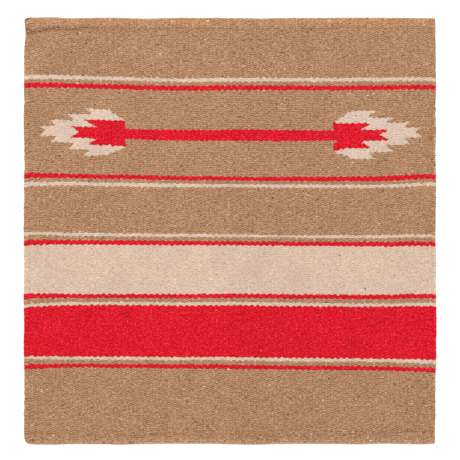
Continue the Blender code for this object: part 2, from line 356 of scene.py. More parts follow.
# Weft
# Soft wool singles, beaten down so hard that each pick shows only as a bead over every
# other warp: even picks on even ribs, odd ones on odd ribs. A change of colour therefore
# steps by one pick from rib to rib.
STRIPES = (  # name, yarn, courses, rows of beads
    ("top_end_band", "tan", 10, 5),
    ("top_field", "tan", 46, 23),
    ("cream_line_1", "pale cream", 3, 2),
    ("tan_line_1", "tan", 4, 2),
    ("red_line_1", "red", 4, 2),
    ("arrow_panel", "tan", 81, 40),
    ("red_line_2", "red", 3, 2),
    ("tan_line_2", "tan", 4, 2),
    ("cream_line_2", "pale cream", 3, 2),
    ("middle_field", "tan", 44, 22),
    ("cream_line_3", "pale cream", 3, 2),
    ("tan_line_3", "tan", 4, 2),
    ("red_line_3", "red", 4, 2),
    ("cream_band", "cream", 45, 22),
    ("red_line_4", "red", 4, 2),
    ("tan_line_4", "tan", 4, 2),
    ("cream_line_4", "pale cream", 3, 2),
    ("red_band", "red", 48, 24),
    ("cream_line_5", "pale cream", 3, 2),
    ("tan_line_5", "tan", 4, 2),
    ("red_line_5", "red", 4, 2),
    ("bottom_field", "tan", 58, 29),
    ("bottom_end_band", "tan", 12, 6),
)
CLIMBS = (  # courses down, then courses climbed at nine places from the left to the right edge
    (0, (0,) * 9),
    (56, (3.2, 2.2, 0.8, -0.4, 0.3, 0.1, 0.2, 0.4, 0.7)),
    (59, (1.5, 1.4, 0.4, -0.8, -0.6, -0.4, -0.5, -0.4, -0.1)),
    (63, (2.7, 1.7, 0.5, -0.3, 0.1, 0, -0.5, -0.1, 0.5)),
    (67, (1.9, 1.6, 0.5, -0.8, -0.4, -0.2, -0.4, -0.2, 0.4)),
    (100, (2.6, 1.9, 1.1, 0.5, 0, -0.3, -0.3, 0.6, 1.4)),
    (104.4, (2.6, 1.9, 1.1, 0.4, 0.2, 0.3, -0.3, 0.6, 1.4)),
    (114.5, (2.6, 1.9, 1.1, 0.4, -0.5, -0.7, -0.3, 0.3, 1.2)),
    (120, (2.6, 1.9, 1.1, 0.5, 0, -0.3, -0.3, 0.3, 1.2)),
    (148, (3.5, 2, 1.5, 0.1, -0.3, -0.5, -0.4, 0.1, 2.5)),
    (151, (1.6, 1.2, 0.6, -0.6, -0.7, -1.4, -1.5, -1.3, 1)),
    (155, (1.9, 1.8, 1.2, 0.4, -0.2, -0.4, -0.5, -0.6, 1.8)),
    (158, (0.3, 1.2, 0.2, -0.4, -0.1, -0.7, -0.8, -0.8, 1.1)),
    (202, (2.3, 1.4, 0.9, 0.5, 0, -1, -0.9, -0.9, 0)),
    (205, (2.4, 1.1, 0.5, 0.2, 0.1, -0.2, -0.9, -1, -0.2)),
    (209, (1.4, 1.1, 1.1, 0.5, 0.2, -0.1, -0.4, -0.4, -0.4)),
    (213, (0.4, 1.3, 0.9, 0.6, 0.6, 0.2, -0.2, -0.6, -0.2)),
    (258, (0.5, -0.2, -0.1, -0.2, 0.2, -0.3, -0.6, -0.8, -0.2)),
    (262, (-0.2, 0.3, 0.2, 0, 0.4, -0.2, -0.4, -0.8, 0)),
    (266, (-1.3, 0.4, 0.9, 0.4, 0.6, 0.1, -0.5, -0.9, -0.1)),
    (269, (-1.4, 0.4, 0.7, 0.2, 0.3, -0.2, -0.7, -1, -0.5)),
    (317, (0.8, 0.5, 0.3, 0, 0, -0.6, -1.2, -1.7, -2.5)),
    (320, (0.9, 0.7, 0.3, -0.1, 0, -1.1, -1.5, -1.7, -3.7)),
    (324, (0, 0.7, 0.2, 0.1, -0.1, -1, -1.3, -1.8, -3.1)),
    (328, (-0.3, 1.5, 0.9, 0.5, 0, -0.6, -1.1, -1.6, -3.2)),
    (398, (0,) * 9),
)
SIDE_RISES = (  # metres right of the middle, courses risen besides at seven places down
    (-0.349, (0, 0.28, 0.42, 0.22, 0.35, -0.1, 0)),
    (0.359, (0, 0.28, 0.30, 0.46, 0.64, -0.1, 0)),
)
SIDE_RISE_WIDTH = 0.0305  # how far to each side of its place a rise fades

# Beads: each is one pick over one warp, from hollow to hollow and from crease to crease
ALONG = 4  # faces along a bead
ACROSS = 3  # faces across a bead
CROWN = 0.0030  # from the middle of the cloth to the top of a bead
LOFT = 0.00016  # by how much beads differ in height
RIB_DEPTH = 0.0006  # from the top of a rib to the hollow between ribs
RIB_SHARES = (0, 0.72, 1, 0.72)  # height of a rib at each station along a bead
CREASE_DEPTH = 0.0011  # between beads on one rib
CREASE_SHARES = (0.45, 1.45)  # least and most of it that a crease has
CREASE_IN_HOLLOW = 0.35  # share of its depth that a crease keeps at the hollow
TIP = 0.00045  # how far beads poke between their neighbours at the hollow
SLANT = 0.0015  # how much higher up the cloth a bead ends than it starts, rising or falling
SLANT_SHARES = (0.1, 0.45)  # mean and spread of a bead's share of it
END_SLANT = 0.0019  # and in the end bands, where the weft was packed in at a slant
SHARP_ANGLE = math.radians(62)  # edges steeper than this stay crisp

# Rows: how far beads lie from where their row would have them
STAGGER = 0.45  # courses up and down on alternate ribs
CREAM_STAGGER = {"tan": 0.33, "red": 0.39}  # less where those yarns meet the cream
PANEL_STAGGER = 0.34  # and in the arrow panel, down to the red line at its foot
BEAD_STRAY = 0.16  # courses besides, by chance
CREASE_STRAY = 0.17  # and for the creases between beads
WOBBLE = 0.0002  # by how much the rows stray over a hand's width
UNEVEN = 0.00025  # and from one finger's width to the next, as they were beaten

# Edges and grooves
RIM = 0.0007  # half the thickness at the cloth's very edge
RIM_SHARES = (0.07, 0.3, 0.62)  # stations of the outermost bead, crowded at the edge
NUB = 0.00035  # by how much the turns of the weft differ along a side
CORNERS = {(-1, 1): 0.006, (1, 1): 0.003, (-1, -1): 0.011, (1, -1): 0.003}  # their radii
END_GROOVE = 0.0012  # sunk across the cloth where an end band was packed against the field
GROOVE_WIDTH = 2.3  # courses
RAGGED = 0.5  # share of a groove's depth that comes and goes
GROOVES = (  # courses down at thirteen places from left to right, then shares of the full depth
    ((14.8, 11, 10.2, 11, 10.8, 10.6, 10.4, 10.2, 10.4, 10.4, 10.2, 10, 9.8),
     (1, 1, 0.55, 0.24, 0.15, 0.14, 0.15, 0.15, 0.15, 0.13, 0.12, 0.15, 0.15)),
    ((388.5, 388.5, 389, 389.4, 389.4, 389.4, 389.2, 389.4, 389.4, 389.4, 388.6, 386, 385),
     (0.12, 0.12, 0.12, 0.2, 0.22, 0.25, 0.28, 0.22, 0.18, 0.18, 0.28, 0.35, 0.4)),
)
SIDE_GROOVE = 0.0002  # sunk beside the outermost rib of each side
SEAM_DEPTH = 0.0004  # where two colours turn back round neighbouring warps

# Shade of the wool, painted shade and light with random tone, on a scale where 1 is as dark as wool
# that is sunk by a millimetre
TONE = 0.10  # by how much broad patches of the cloth differ
FOLD_SHADING = (-0.05, 0.09)  # painted light to the left and painted shade to the right of where it was stored folded
FOLD_WIDTH = 0.16  # how far from the fold that painted light and shade reach
EDGES = {  # how far in it is rounded, how much paler a painted highlight makes it, and how far in
    "sides": (0.0030, 0.5, 0.005), "top": (0.0060, 0.68, 0.024), "bottom": (0.0030, 0.9, 0.012)}

row_courses = [0]
first_rows = {}
for name, _, courses, rows in STRIPES:
    first_rows[name] = len(row_courses) - 1
    start = row_courses[-1]
    row_courses += [start + courses * (k + 1) / rows for k in range(rows)]
row_courses = np.array(row_courses)
ROWS = len(row_courses) - 1
SEED = 1886
BEADS = (2, COLUMNS + 1, ROWS + 1)  # faces of the cloth, ribs and rows
chance = np.random.default_rng(SEED)
bead_loft = chance.normal(0, LOFT, BEADS)
bead_stray = chance.normal(0, BEAD_STRAY, BEADS)
crease_stray = chance.normal(0, CREASE_STRAY, BEADS)
crease_share = chance.uniform(*CREASE_SHARES, BEADS)
bead_slant = chance.normal(*SLANT_SHARES, BEADS)


def waves(count, across, along):
    """Random waves: their radians a metre across and along, and where each starts."""
    return [(chance.uniform(*across) * chance.choice((-1, 1)), chance.uniform(*along),
             chance.uniform(0, 2 * math.pi)) for _ in range(count)]


def rolling(x, y, drawn):
    """The sum of some waves at each place, even in strength however many there are."""
    return sum(np.sin(x * a + y * b + c) for a, b, c in drawn) / math.sqrt(len(drawn))


long_waves = waves(14, across=(20, 110), along=(12, 66))
short_waves = waves(24, across=(90, 320), along=(200, 700))
slant_waves = waves(16, across=(30, 140), along=(30, 160))
edge_nubs = chance.normal(0, NUB, (2, ROWS + 1))
tone_waves = waves(12, across=(10, 90), along=(10, 90))
line_stagger = np.full(ROWS + 1, STAGGER)
line_stagger[first_rows["arrow_panel"] + 1:first_rows["tan_line_2"] + 1] = PANEL_STAGGER
for (_, above, _, _), (name, below, _, _) in zip(STRIPES, STRIPES[1:]):
    if "cream" in above + below:
        line_stagger[first_rows[name]] = CREAM_STAGGER[below if "cream" in above else above]


def through(values, share):
    """A smooth curve through evenly spaced values, read at shares of its length."""
    values = np.array(values, float)
    ends = 2 * values[0] - values[1], 2 * values[-1] - values[-2]
    padded = np.concatenate((ends[:1], values, ends[1:]))
    place = np.clip(share, 0, 1) * (len(values) - 1)
    k = np.minimum(place.astype(int), len(values) - 2)
    t = place - k
    before, a, b, after = (padded[k + step] for step in range(4))
    bend = (2 * before - 5 * a + 4 * b - after) * t**2
    twist = (3 * a - before - 3 * b + after) * t**3
    return a + ((b - before) * t + bend + twist) / 2


def climb(x, courses):
    """Courses that the weft has climbed at x, that many courses down from the top edge."""
    share = (x / HALF_WIDTH + 1) / 2
    levels = np.array([level for level, _ in CLIMBS], float)
    curves = np.array([through(values, share) for _, values in CLIMBS])
    k = np.clip(np.searchsorted(levels, courses, side="right") - 1, 0, len(levels) - 2)
    t = np.clip((courses - levels[k]) / (levels[k + 1] - levels[k]), 0, 1)
    pick = np.arange(len(courses))
    climbed = curves[k, pick] * (1 - t) + curves[k + 1, pick] * t
    for place, rises in SIDE_RISES:
        near = np.exp(-((x - place) / SIDE_RISE_WIDTH) ** 2)
        climbed = climbed + eased(rises, courses / COURSES) * near
    return climbed


def rounded_corners(x, y):
    """Places pulled in so that the square corners of the loom's cloth become round."""
    for (across, up), radius in CORNERS.items():
        out_x = across * x - (HALF_WIDTH - radius)
        out_y = up * y - (HALF_LENGTH - radius)
        corner = (out_x > 0) & (out_y > 0)
        longest = np.maximum(out_x, out_y)
        pull = longest / np.maximum(np.hypot(out_x, out_y), 1e-9)
        x = np.where(corner, across * (out_x * pull + HALF_WIDTH - radius), x)
        y = np.where(corner, up * (out_y * pull + HALF_LENGTH - radius), y)
    return x, y


class WeavePoints:
    """Points of the weave: which face, rib and row they are on, and where on the bead."""

    def __init__(self, mesh):
        """Read a mesh that is still laid out in counts of stations and levels."""
        places = np.empty((len(mesh.vertices), 3), np.float32)
        mesh.vertices.foreach_get("co", places.ravel())
        self.ix, self.iy = np.rint(places[:, :2]).astype(int).T
        self.back = places[:, 2] < -0.5
        self.column, self.station = np.divmod(self.ix, ALONG)
        self.row, self.level = np.divmod(self.iy, ACROSS)
        side = self.back.astype(int)
        self.bead = side, self.column, self.row
        self.handed = np.where((self.column + side) % 2 == 0, 1.0, -1.0)
        self.between = self.station == 0


def places_across(at):
    """How far across the cloth each point is, and the share of its bead that lies before it."""
    stations = np.array((0, *RIM_SHARES))
    share = np.where(at.column == 0, stations[at.station], at.station / ALONG)
    last = (at.column == COLUMNS - 1) & ~at.between
    share = np.where(last, 1 - stations[-at.station], share)
    lines = np.append(ribs, ribs[-1])
    x = lines[at.column] + share * (lines[at.column + 1] - lines[at.column])
    outer = (at.ix == 0) | (at.ix == COLUMNS * ALONG)
    poke = np.select([at.level == 1, at.level == 2], [-at.handed, at.handed], 0) * TIP
    return x + np.where(at.between & ~outer, poke, 0), share


def places_along(at, x, share):
    """How far up the cloth each point is, and how many courses down from its top edge."""
    lines = np.append(row_courses, row_courses[-1])
    courses = lines[at.row] + at.level / ACROSS * (lines[at.row + 1] - lines[at.row])
    from_end = np.minimum(1, np.minimum(at.iy, ROWS * ACROSS - at.iy) / (2 * ACROSS))
    next_line = np.minimum(at.row + 1, ROWS)
    stagger = line_stagger[at.row]
    stagger = stagger + (line_stagger[next_line] - stagger) * at.level / ACROSS
    stray = np.where(at.level > 0, bead_stray[at.bead], crease_stray[at.bead])
    shift = (at.handed * stagger + stray) * from_end
    courses = courses + np.where(at.between, 0, shift)
    y = HALF_LENGTH - COURSE * (courses - climb(x, np.clip(courses, 0, COURSES)))
    field = (at.row >= first_rows["top_field"]) & (at.row < first_rows["bottom_end_band"])
    slant = SLANT * (bead_slant[at.bead] + rolling(x, y, slant_waves))
    slant = np.where(field, slant, END_SLANT)
    y = y + np.where(at.between, 0, (share - 0.5) * slant * from_end)
    beaten = WOBBLE * rolling(x, y, long_waves) + UNEVEN * rolling(x, y, short_waves)
    return y + beaten * from_end, courses


def sunk_depth(at, x, y, courses, seams):
    """How far each point is drawn in by the grooves and seams."""
    sunk = np.zeros(len(x))
    across = (x / HALF_WIDTH + 1) / 2
    for places, depths in GROOVES:
        off = (courses - eased(places, across)) / GROOVE_WIDTH
        ragged = 1 + RAGGED * rolling(x, 2 * y, short_waves)
        sunk = sunk + END_GROOVE * eased(depths, across) * ragged.clip(0) * np.exp(-off * off)
    beside_rib = (at.ix == ALONG) | (at.ix == ALONG * (COLUMNS - 1))
    seam = np.where(seams[at.ix, at.iy], SEAM_DEPTH, 0)
    return sunk + np.where(beside_rib, SIDE_GROOVE, 0) + seam


def in_from_side(x):
    return np.minimum(x + HALF_WIDTH, HALF_WIDTH - x)


def thinned_to_edges(at, x, half):
    """Half the thickness, rounded off towards the edges, and how much highlight is painted on them.
    """
    to_line = COURSE * 2 / ACROSS
    distances = {"sides": in_from_side(x), "top": at.iy * to_line,
                 "bottom": (ROWS * ACROSS - at.iy) * to_line}
    full = CROWN + 3 * LOFT
    edge_highlight = np.zeros(len(x))
    for edge, (rounding, highlight, reach) in EDGES.items():
        nose = np.clip(distances[edge] / rounding, 0, 1)
        half = np.minimum(half, RIM + (full - RIM) * np.sqrt(nose * (2 - nose)))
        # Painted highlight, palest at the very edge
        edge_highlight = np.maximum(edge_highlight, highlight * np.clip(1 - distances[edge] / reach, 0, 1))
    return half, edge_highlight


def woven_places(at, seams):
    """Where each point of the weave lies, and its shade: painted shade and light, and random tone.
    """
    x, share = places_across(at)
    y, courses = places_along(at, x, share)
    rib = np.array(RIB_SHARES)[at.station]
    crease = np.where(at.level == 0, crease_share[at.bead], 0.0)
    crease = CREASE_DEPTH * crease * (CREASE_IN_HOLLOW + (1 - CREASE_IN_HOLLOW) * rib)
    half = CROWN - RIB_DEPTH * (1 - rib) - crease
    half = half + np.where(at.between, 0, bead_loft[at.bead] * (at.level > 0))
    sunk = sunk_depth(at, x, y, courses, seams)
    half, edge_highlight = thinned_to_edges(at, x, half - sunk)
    # Painted light left of the fold and painted shade right of it
    painted_fold_light = np.where(x < 0, *FOLD_SHADING) * np.exp(-(x / FOLD_WIDTH) ** 2)
    # Painted shade where grooves and seams sink the cloth, painted highlight on edges, painted fold
    # light, random tone
    dark = sunk * 1000 - edge_highlight + painted_fold_light + TONE * rolling(x, y, tone_waves)
    nubs = np.where(at.ix == 0, -1, 1) * edge_nubs[(at.ix > 0).astype(int), at.row]
    x = x + np.where(in_from_side(x) < CROWN, nubs, 0)
    x, y = wandered(*rounded_corners(x, y))
    z = MIDDLE + np.where(at.back, -half, half)
    return np.stack((x, y, z), 1), dark


NO_SEAMS = np.zeros((COLUMNS * ALONG + 1, ROWS * ACROSS + 1), bool)
BAKE_MARGIN = 0.002
BAKE_FACES = (0.004, 0.48, 0.49)  # where the front starts, a face's height and step to the next
BAKE_WALLS = (0.985, 0.01)  # where the strip of walls starts, and its height


def add_map(mesh, name, values):
    layer = mesh.uv_layers.new(name=name)
    layer.data.foreach_set("uv", values.astype(np.float32).ravel())


def baking_map(mesh, corners, at):
    """Front over back in a square, and the walls between them in a strip above both."""
    across, down = ((counts[corners] - counts.min()) / (counts.max() - counts.min())
                    for counts in (at.ix, at.iy))
    sides = at.back[corners].astype(float)
    starts = np.empty(len(mesh.polygons), np.int32)
    mesh.polygons.foreach_get("loop_start", starts)
    sizes = np.diff(np.append(starts, len(corners)))
    behind = np.add.reduceat(sides, starts)
    wall = np.repeat((behind > 0) & (behind < sizes), sizes)
    u = BAKE_MARGIN + (1 - 2 * BAKE_MARGIN) * across
    start, height, step = BAKE_FACES
    strip, thickness = BAKE_WALLS
    v = np.where(wall, strip + thickness * sides, start + height * down + step * sides)
    add_map(mesh, "OFBake", np.stack((u, v), 1))


def woven(name, first, rows, material, keep=None, seams=NO_SEAMS):
    """A length of weft, as both faces of the cloth over some rows and the walls between."""
    left, right = 0, COLUMNS * ALONG
    start, stop = first * ACROSS, (first + rows) * ACROSS
    if keep is not None:
        used = np.nonzero(keep[:, start:stop].any(1))[0]
        left, right = int(used[0]), int(used[-1]) + 1
        used = np.nonzero(keep[:, start:stop].any(0))[0]
        start, stop = start + int(used[0]), start + int(used[-1]) + 1
    scale = Matrix.Diagonal((right - left, stop - start, 1, 1))
    place = Matrix.Translation(((left + right) / 2, (start + stop) / 2, 0))
    bm = bmesh.new()
    bmesh.ops.create_grid(bm, x_segments=right - left, y_segments=stop - start, size=0.5,
                          matrix=place @ scale)
    if keep is not None:
        middles = [(face, face.calc_center_median()) for face in bm.faces]
        left_out = [face for face, middle in middles if not keep[int(middle.x), int(middle.y)]]
        bmesh.ops.delete(bm, geom=left_out, context="FACES")
    turned = bmesh.ops.extrude_face_region(bm, geom=bm.faces[:], use_keep_orig=True)
    under = [part for part in turned["geom"] if isinstance(part, bmesh.types.BMVert)]
    bmesh.ops.translate(bm, verts=under, vec=(0, 0, -1))
    mesh = bpy.data.meshes.new(name)
    bm.to_mesh(mesh)
    bm.free()
    at = WeavePoints(mesh)
    places, dark = woven_places(at, seams)
    mesh.vertices.foreach_set("co", places.astype(np.float32).ravel())
    # The painted shade and light, with the random tone, go to the material
    shade = mesh.attributes.new("shade", "FLOAT", "POINT")
    shade.data.foreach_set("value", dark.astype(np.float32))
    corners = np.empty(len(mesh.loops), np.int32)
    mesh.loops.foreach_get("vertex_index", corners)
    rows_down = at.iy[corners] / ACROSS
    add_map(mesh, "weave", np.stack((at.ix[corners] / ALONG, rows_down), 1))
    pitches = np.interp(at.ix / ALONG, np.arange(COLUMNS + 1), ribs) / WARP_PITCH
    add_map(mesh, "yarn", np.stack((pitches[corners], rows_down), 1))
    baking_map(mesh, corners, at)
    faced_outwards(mesh)
    mesh.shade_smooth()
    mesh.set_sharp_from_angle(angle=SHARP_ANGLE)
    mesh.materials.append(material)
    return in_scene(name, mesh)


def new_group(name, inputs, outputs):
    """A node group with sockets of those names for each kind, and its two end nodes."""
    tree = bpy.data.node_groups.new(name, "ShaderNodeTree")
    for way, sockets in (("INPUT", inputs), ("OUTPUT", outputs)):
        for kind, names in sockets.items():
            for socket in names:
                tree.interface.new_socket(socket, in_out=way, socket_type="NodeSocket" + kind)
    return tree, tree.nodes.new("NodeGroupInput"), tree.nodes.new("NodeGroupOutput")


def scaled(tree, value, by, plus=None):
    """A number or socket times another, and plus a third where one is given."""
    if plus is None:
        return maths(tree, "MULTIPLY", value, by)
    return maths(tree, "MULTIPLY_ADD", value, by, plus)


def ramp(tree, value, low, high, to_low=0.0, to_high=1.0):
    """A smooth step between two values, from the low end to the high one."""
    inputs = {"Value": value, "From Min": low, "From Max": high, "To Min": to_low,
              "To Max": to_high}
    node = linked(tree, "ShaderNodeMapRange", inputs, interpolation_type="SMOOTHSTEP")
    return node.outputs[0]


def blended(tree, factor, a, b, way="MIX"):
    node = linked(tree, "ShaderNodeMix", {0: factor, 6: a, 7: b}, data_type="RGBA",
                  blend_type=way)
    return node.outputs[2]


def vector(tree, x, y, z=0.0):
    return linked(tree, "ShaderNodeCombineXYZ", {0: x, 1: y, 2: z}).outputs[0]


def spread(tree, parts, turns, starts=(None, None), z=0.0):
    """A vector of two parts, each times its turns and plus its start where it has one."""
    x, y = (scaled(tree, *each) for each in zip(parts, turns, starts))
    return vector(tree, x, y, z)


def parted(tree, value):
    """The three parts of a vector or colour."""
    return tuple(linked(tree, "ShaderNodeSeparateXYZ", {0: value}).outputs)


def vector_scaled(tree, value, by):
    inputs = {0: value, "Scale": by}
    return linked(tree, "ShaderNodeVectorMath", inputs, operation="SCALE").outputs[0]


def noise(tree, place, detail=2.0, rough=0.5, dimensions="3D"):
    inputs = {"Vector": place, "Scale": 1.0, "Detail": detail, "Roughness": rough}
    return linked(tree, "ShaderNodeTexNoise", inputs, noise_dimensions=dimensions).outputs["Fac"]


CREASE_REACH = 0.27  # of a row, to which shade is painted beside the crease between beads
CREASE_TIGHTNESS = (-0.3, 0.9)  # ramp by which creases differ
VALLEY_REACH = 0.26  # of a rib, to which shade is painted beside the valley between ribs
VALLEY_SHADE = 0.15  # painted shade in a valley, as a share of a crease's
BEAD_SIZE = (0.8, 1.7)  # rib and row as lengths, to measure how far off a bead's middle is


def pick_group():
    """Which pick of weft shows at a place on the weave, where on its bead that is, and how much
    shade is painted there in the creases.
    """
    tree, start, end = new_group(
        "Pick of weft", {"Vector": ["Weave"]},
        {"Float": ["Pick", "Hollow", "Off middle"], "Vector": ["Bead"]})
    u, v, _ = parted(tree, start.outputs["Weave"])
    rib, row = maths(tree, "FLOOR", u), maths(tree, "FLOOR", v)
    off_hollow, off_crease = maths(tree, "PINGPONG", u, 0.5), maths(tree, "PINGPONG", v, 0.5)
    odd = maths(tree, "FLOORED_MODULO", rib, 2.0)
    pick = scaled(tree, row, 2.0, odd)
    # Painted shade: a mask that dims the colour in the crease between beads and the valley between
    # ribs
    crease = ramp(tree, off_crease, 0.0, CREASE_REACH, 1.0, 0.0)
    valley_shade = ramp(tree, off_hollow, 0.0, VALLEY_REACH, 1.0, 0.0)
    line = vector(tree, rib, maths(tree, "ROUND", v), 5.0)
    tightness = linked(tree, "ShaderNodeTexWhiteNoise", {"Vector": line}).outputs["Value"]
    crease = scaled(tree, crease, ramp(tree, tightness, *CREASE_TIGHTNESS))
    hollow = maths(tree, "MAXIMUM", crease, scaled(tree, valley_shade, VALLEY_SHADE))
    off = spread(tree, (off_hollow, off_crease), BEAD_SIZE, [-size / 2 for size in BEAD_SIZE])
    off = linked(tree, "ShaderNodeVectorMath", {0: off}, operation="LENGTH")
    wired(tree, end, {"Pick": pick, "Bead": vector(tree, rib, pick), "Hollow": hollow,
                      "Off middle": off.outputs["Value"]})
    return tree


# Turns of the wool's patterns for a rib across and a row down, and their weights
PICKS_APART = 7.31  # so that no two picks match
SLOW_TURNS = 0.6
CLUMP_TURNS = (2.2, 1.7)
LEAN_TURNS = (0.3, 0.16)
LEAN = 3.2  # rows by which strands lean at most
STRAND_TURNS = (1.5, 1.9)
FIBRE_TURNS = (3.0, 16.0)
FIBRE_SLANT = (5.0, 3.0)
SHADE_WEIGHTS = (0.15, 0.15, 1.6, 1.9)  # along a pick, from bead to bead, clumps and strands
FLECK_SHARES = {"Dark fleck": 1.6, "Pale fleck": 1.0, "Stray fleck": 2.4}  # of "Flecks"
FLECK_RAGGED = 0.8  # by how much clumps eat into a fleck's edge
FLECK_EDGE = (0.62, 0.95)  # off the bead's middle, where a fleck fades and ends
FLECK_STRENGTH = (-0.5, 1.2)  # ramp by which flecks differ
FUZZ_SHADES = (0.45, 1.05)  # shades of wool between which pale loose fibres come to show, with a painted sheen highlight
SHADE_DARK = 0.27  # by which wool is darker for each 1 of its painted shade and tone


def heather_group(picks):
    """Colour of wool weft: light and dark fibres carded together, odd flecks, pale fibres with a
    painted sheen, painted shade in creases, and the cloth's painted shade and light.
    """
    tree, start, end = new_group(
        "Heathered wool",
        {"Vector": ["Weave", "Yarn"], "Float": ["Shade", "Contrast", "Fuzziness", "Flecks"],
         "Color": ["Dark wool", "Pale wool", *FLECK_SHARES, "Fuzz", "Hollow"]},
        {"Color": ["Colour"], "Float": ["Fibres"]})
    given = start.outputs
    where = linked(tree, "ShaderNodeGroup", {"Weave": given["Weave"]}, node_tree=picks)
    pick, bead, hollow = (where.outputs[name] for name in ("Pick", "Bead", "Hollow"))
    u, v, _ = parted(tree, given["Yarn"])
    far = scaled(tree, pick, PICKS_APART)
    along = noise(tree, vector(tree, scaled(tree, u, SLOW_TURNS), far))
    clumps = noise(tree, spread(tree, (u, v), CLUMP_TURNS, (far, None)), 2.0, 0.65, "2D")
    level = scaled(tree, noise(tree, spread(tree, (u, v), LEAN_TURNS), 1.0), LEAN, v)
    strands = noise(tree, spread(tree, (u, level), STRAND_TURNS), 1.0, 0.6, "2D")
    lots = linked(tree, "ShaderNodeTexWhiteNoise", {"Vector": bead}, noise_dimensions="2D")
    lot = lots.outputs["Value"]
    shade = None
    for pattern, weight in zip((along, lot, clumps, strands), SHADE_WEIGHTS):
        shade = scaled(tree, pattern, weight, shade)
    shade = maths(tree, "SUBTRACT", shade, sum(SHADE_WEIGHTS) / 2)
    shade = scaled(tree, shade, given["Contrast"], 0.5)
    colour = blended(tree, shade, given["Dark wool"], given["Pale wool"])
    tuft = scaled(tree, clumps, FLECK_RAGGED, where.outputs["Off middle"])
    tuft = ramp(tree, tuft, *FLECK_EDGE, 1.0, 0.0)
    tuft = scaled(tree, tuft, ramp(tree, lot, *FLECK_STRENGTH))
    draws = parted(tree, lots.outputs["Color"])
    for draw, (name, share) in zip(draws, FLECK_SHARES.items()):
        drawn = maths(tree, "GREATER_THAN", draw, scaled(tree, given["Flecks"], -share, 1.0))
        colour = blended(tree, scaled(tree, drawn, tuft), colour, given[name])
    # Pale loose fibres and a painted sheen highlight on them, where the heather is palest
    fuzz_with_sheen = scaled(tree, ramp(tree, shade, *FUZZ_SHADES), given["Fuzziness"])
    colour = blended(tree, fuzz_with_sheen, colour, given["Fuzz"])
    # Painted shade in the creases between beads and the valleys between ribs
    colour = blended(tree, hollow, colour, given["Hollow"], "MULTIPLY")
    slant = scaled(tree, u, FIBRE_SLANT[0], scaled(tree, v, FIBRE_SLANT[1]))
    place = spread(tree, (u, v), FIBRE_TURNS, (None, slant), pick)
    fibres = noise(tree, place, 3.0, 0.7)
    # Painted shade and light, with the random tone, from the cloth's shade attribute
    light = scaled(tree, given["Shade"], -SHADE_DARK, 1.0)
    wired(tree, end, {"Colour": vector_scaled(tree, colour, light), "Fibres": fibres})
    return tree


heather = heather_group(pick_group())


def weft_material(name, contrast, fuzziness, flecks, **colours):
    """Heathered wool weft in its dark, pale and fleck colours, with pale fibres and their painted
    sheen, and the colour of painted shade in its creases.
    """
    material, tree, shader = principled(name, roughness=0.92, shine=WOOL_SHINE)
    weave = linked(tree, "ShaderNodeUVMap", {}, uv_map="weave")
    run = linked(tree, "ShaderNodeUVMap", {}, uv_map="yarn")
    shade = linked(tree, "ShaderNodeAttribute", {}, attribute_name="shade")
    inputs = {"Weave": weave.outputs["UV"], "Yarn": run.outputs["UV"],
              "Shade": shade.outputs["Fac"], "Contrast": contrast, "Fuzziness": fuzziness,
              "Flecks": flecks}
    for use, colour in colours.items():
        inputs[use.replace("_", " ").capitalize()] = (*colour, 1)
    spun = linked(tree, "ShaderNodeGroup", inputs, node_tree=heather).outputs
    wired(tree, shader, {"Base Color": spun["Colour"], "Sheen Weight": 0.06,
                         "Sheen Roughness": 0.5})
    bumped(tree, shader, spun["Fibres"], strength=0.7, distance=0.0005)
    return material


# Each wool's crease colour is painted shade, multiplied in where beads and ribs meet
CREAM = {
    "contrast": 0.6, "fuzziness": 0.15, "flecks": 0.002, "dark_fleck": (0.34, 0.22, 0.15),
    "pale_fleck": (0.92, 0.80, 0.70), "stray_fleck": (0.62, 0.42, 0.20),
    "hollow": (0.78, 0.74, 0.70)}
WOOLS = {
    "tan": weft_material(
        "tan_wool", contrast=0.64, fuzziness=0.25, flecks=0.010,
        dark_wool=(0.27, 0.110, 0.034), pale_wool=(0.66, 0.394, 0.233),
        dark_fleck=(0.09, 0.045, 0.025), pale_fleck=(0.80, 0.58, 0.42),
        stray_fleck=(0.57, 0.31, 0.08), fuzz=(0.80, 0.56, 0.40), hollow=(0.40, 0.35, 0.33)),
    "cream": weft_material(
        "cream_wool", dark_wool=(0.56, 0.375, 0.270), pale_wool=(0.82, 0.640, 0.520),
        fuzz=(0.90, 0.78, 0.68), **CREAM),
    "pale cream": weft_material(  # a bleached lot, in the narrow lines and the arrow
        "pale_cream_wool", dark_wool=(0.57, 0.395, 0.295), pale_wool=(0.83, 0.668, 0.558),
        fuzz=(0.92, 0.82, 0.74), **CREAM),
    "red": weft_material(
        "red_wool", contrast=1.05, fuzziness=0.35, flecks=0.003,
        dark_wool=(0.61, 0.0001, 0.005), pale_wool=(0.82, 0.003, 0.022),
        dark_fleck=(0.24, 0.004, 0.012), pale_fleck=(0.94, 0.12, 0.12),
        stray_fleck=(0.90, 0.05, 0.03), fuzz=(0.93, 0.115, 0.17), hollow=(0.60, 0.12, 0.24)),
}
SLOTS = {"tan": "tan_weft", "cream": "cream_weft", "pale cream": "cream_weft", "red": "red_weft"}

for name, yarn_name, _, rows in STRIPES:
    if name == "arrow_panel":
        continue
    stripe = woven(name, first_rows[name], rows, WOOLS[yarn_name])
    declare(stripe, SLOTS[yarn_name], f"{name}_left", f"{name}_right")

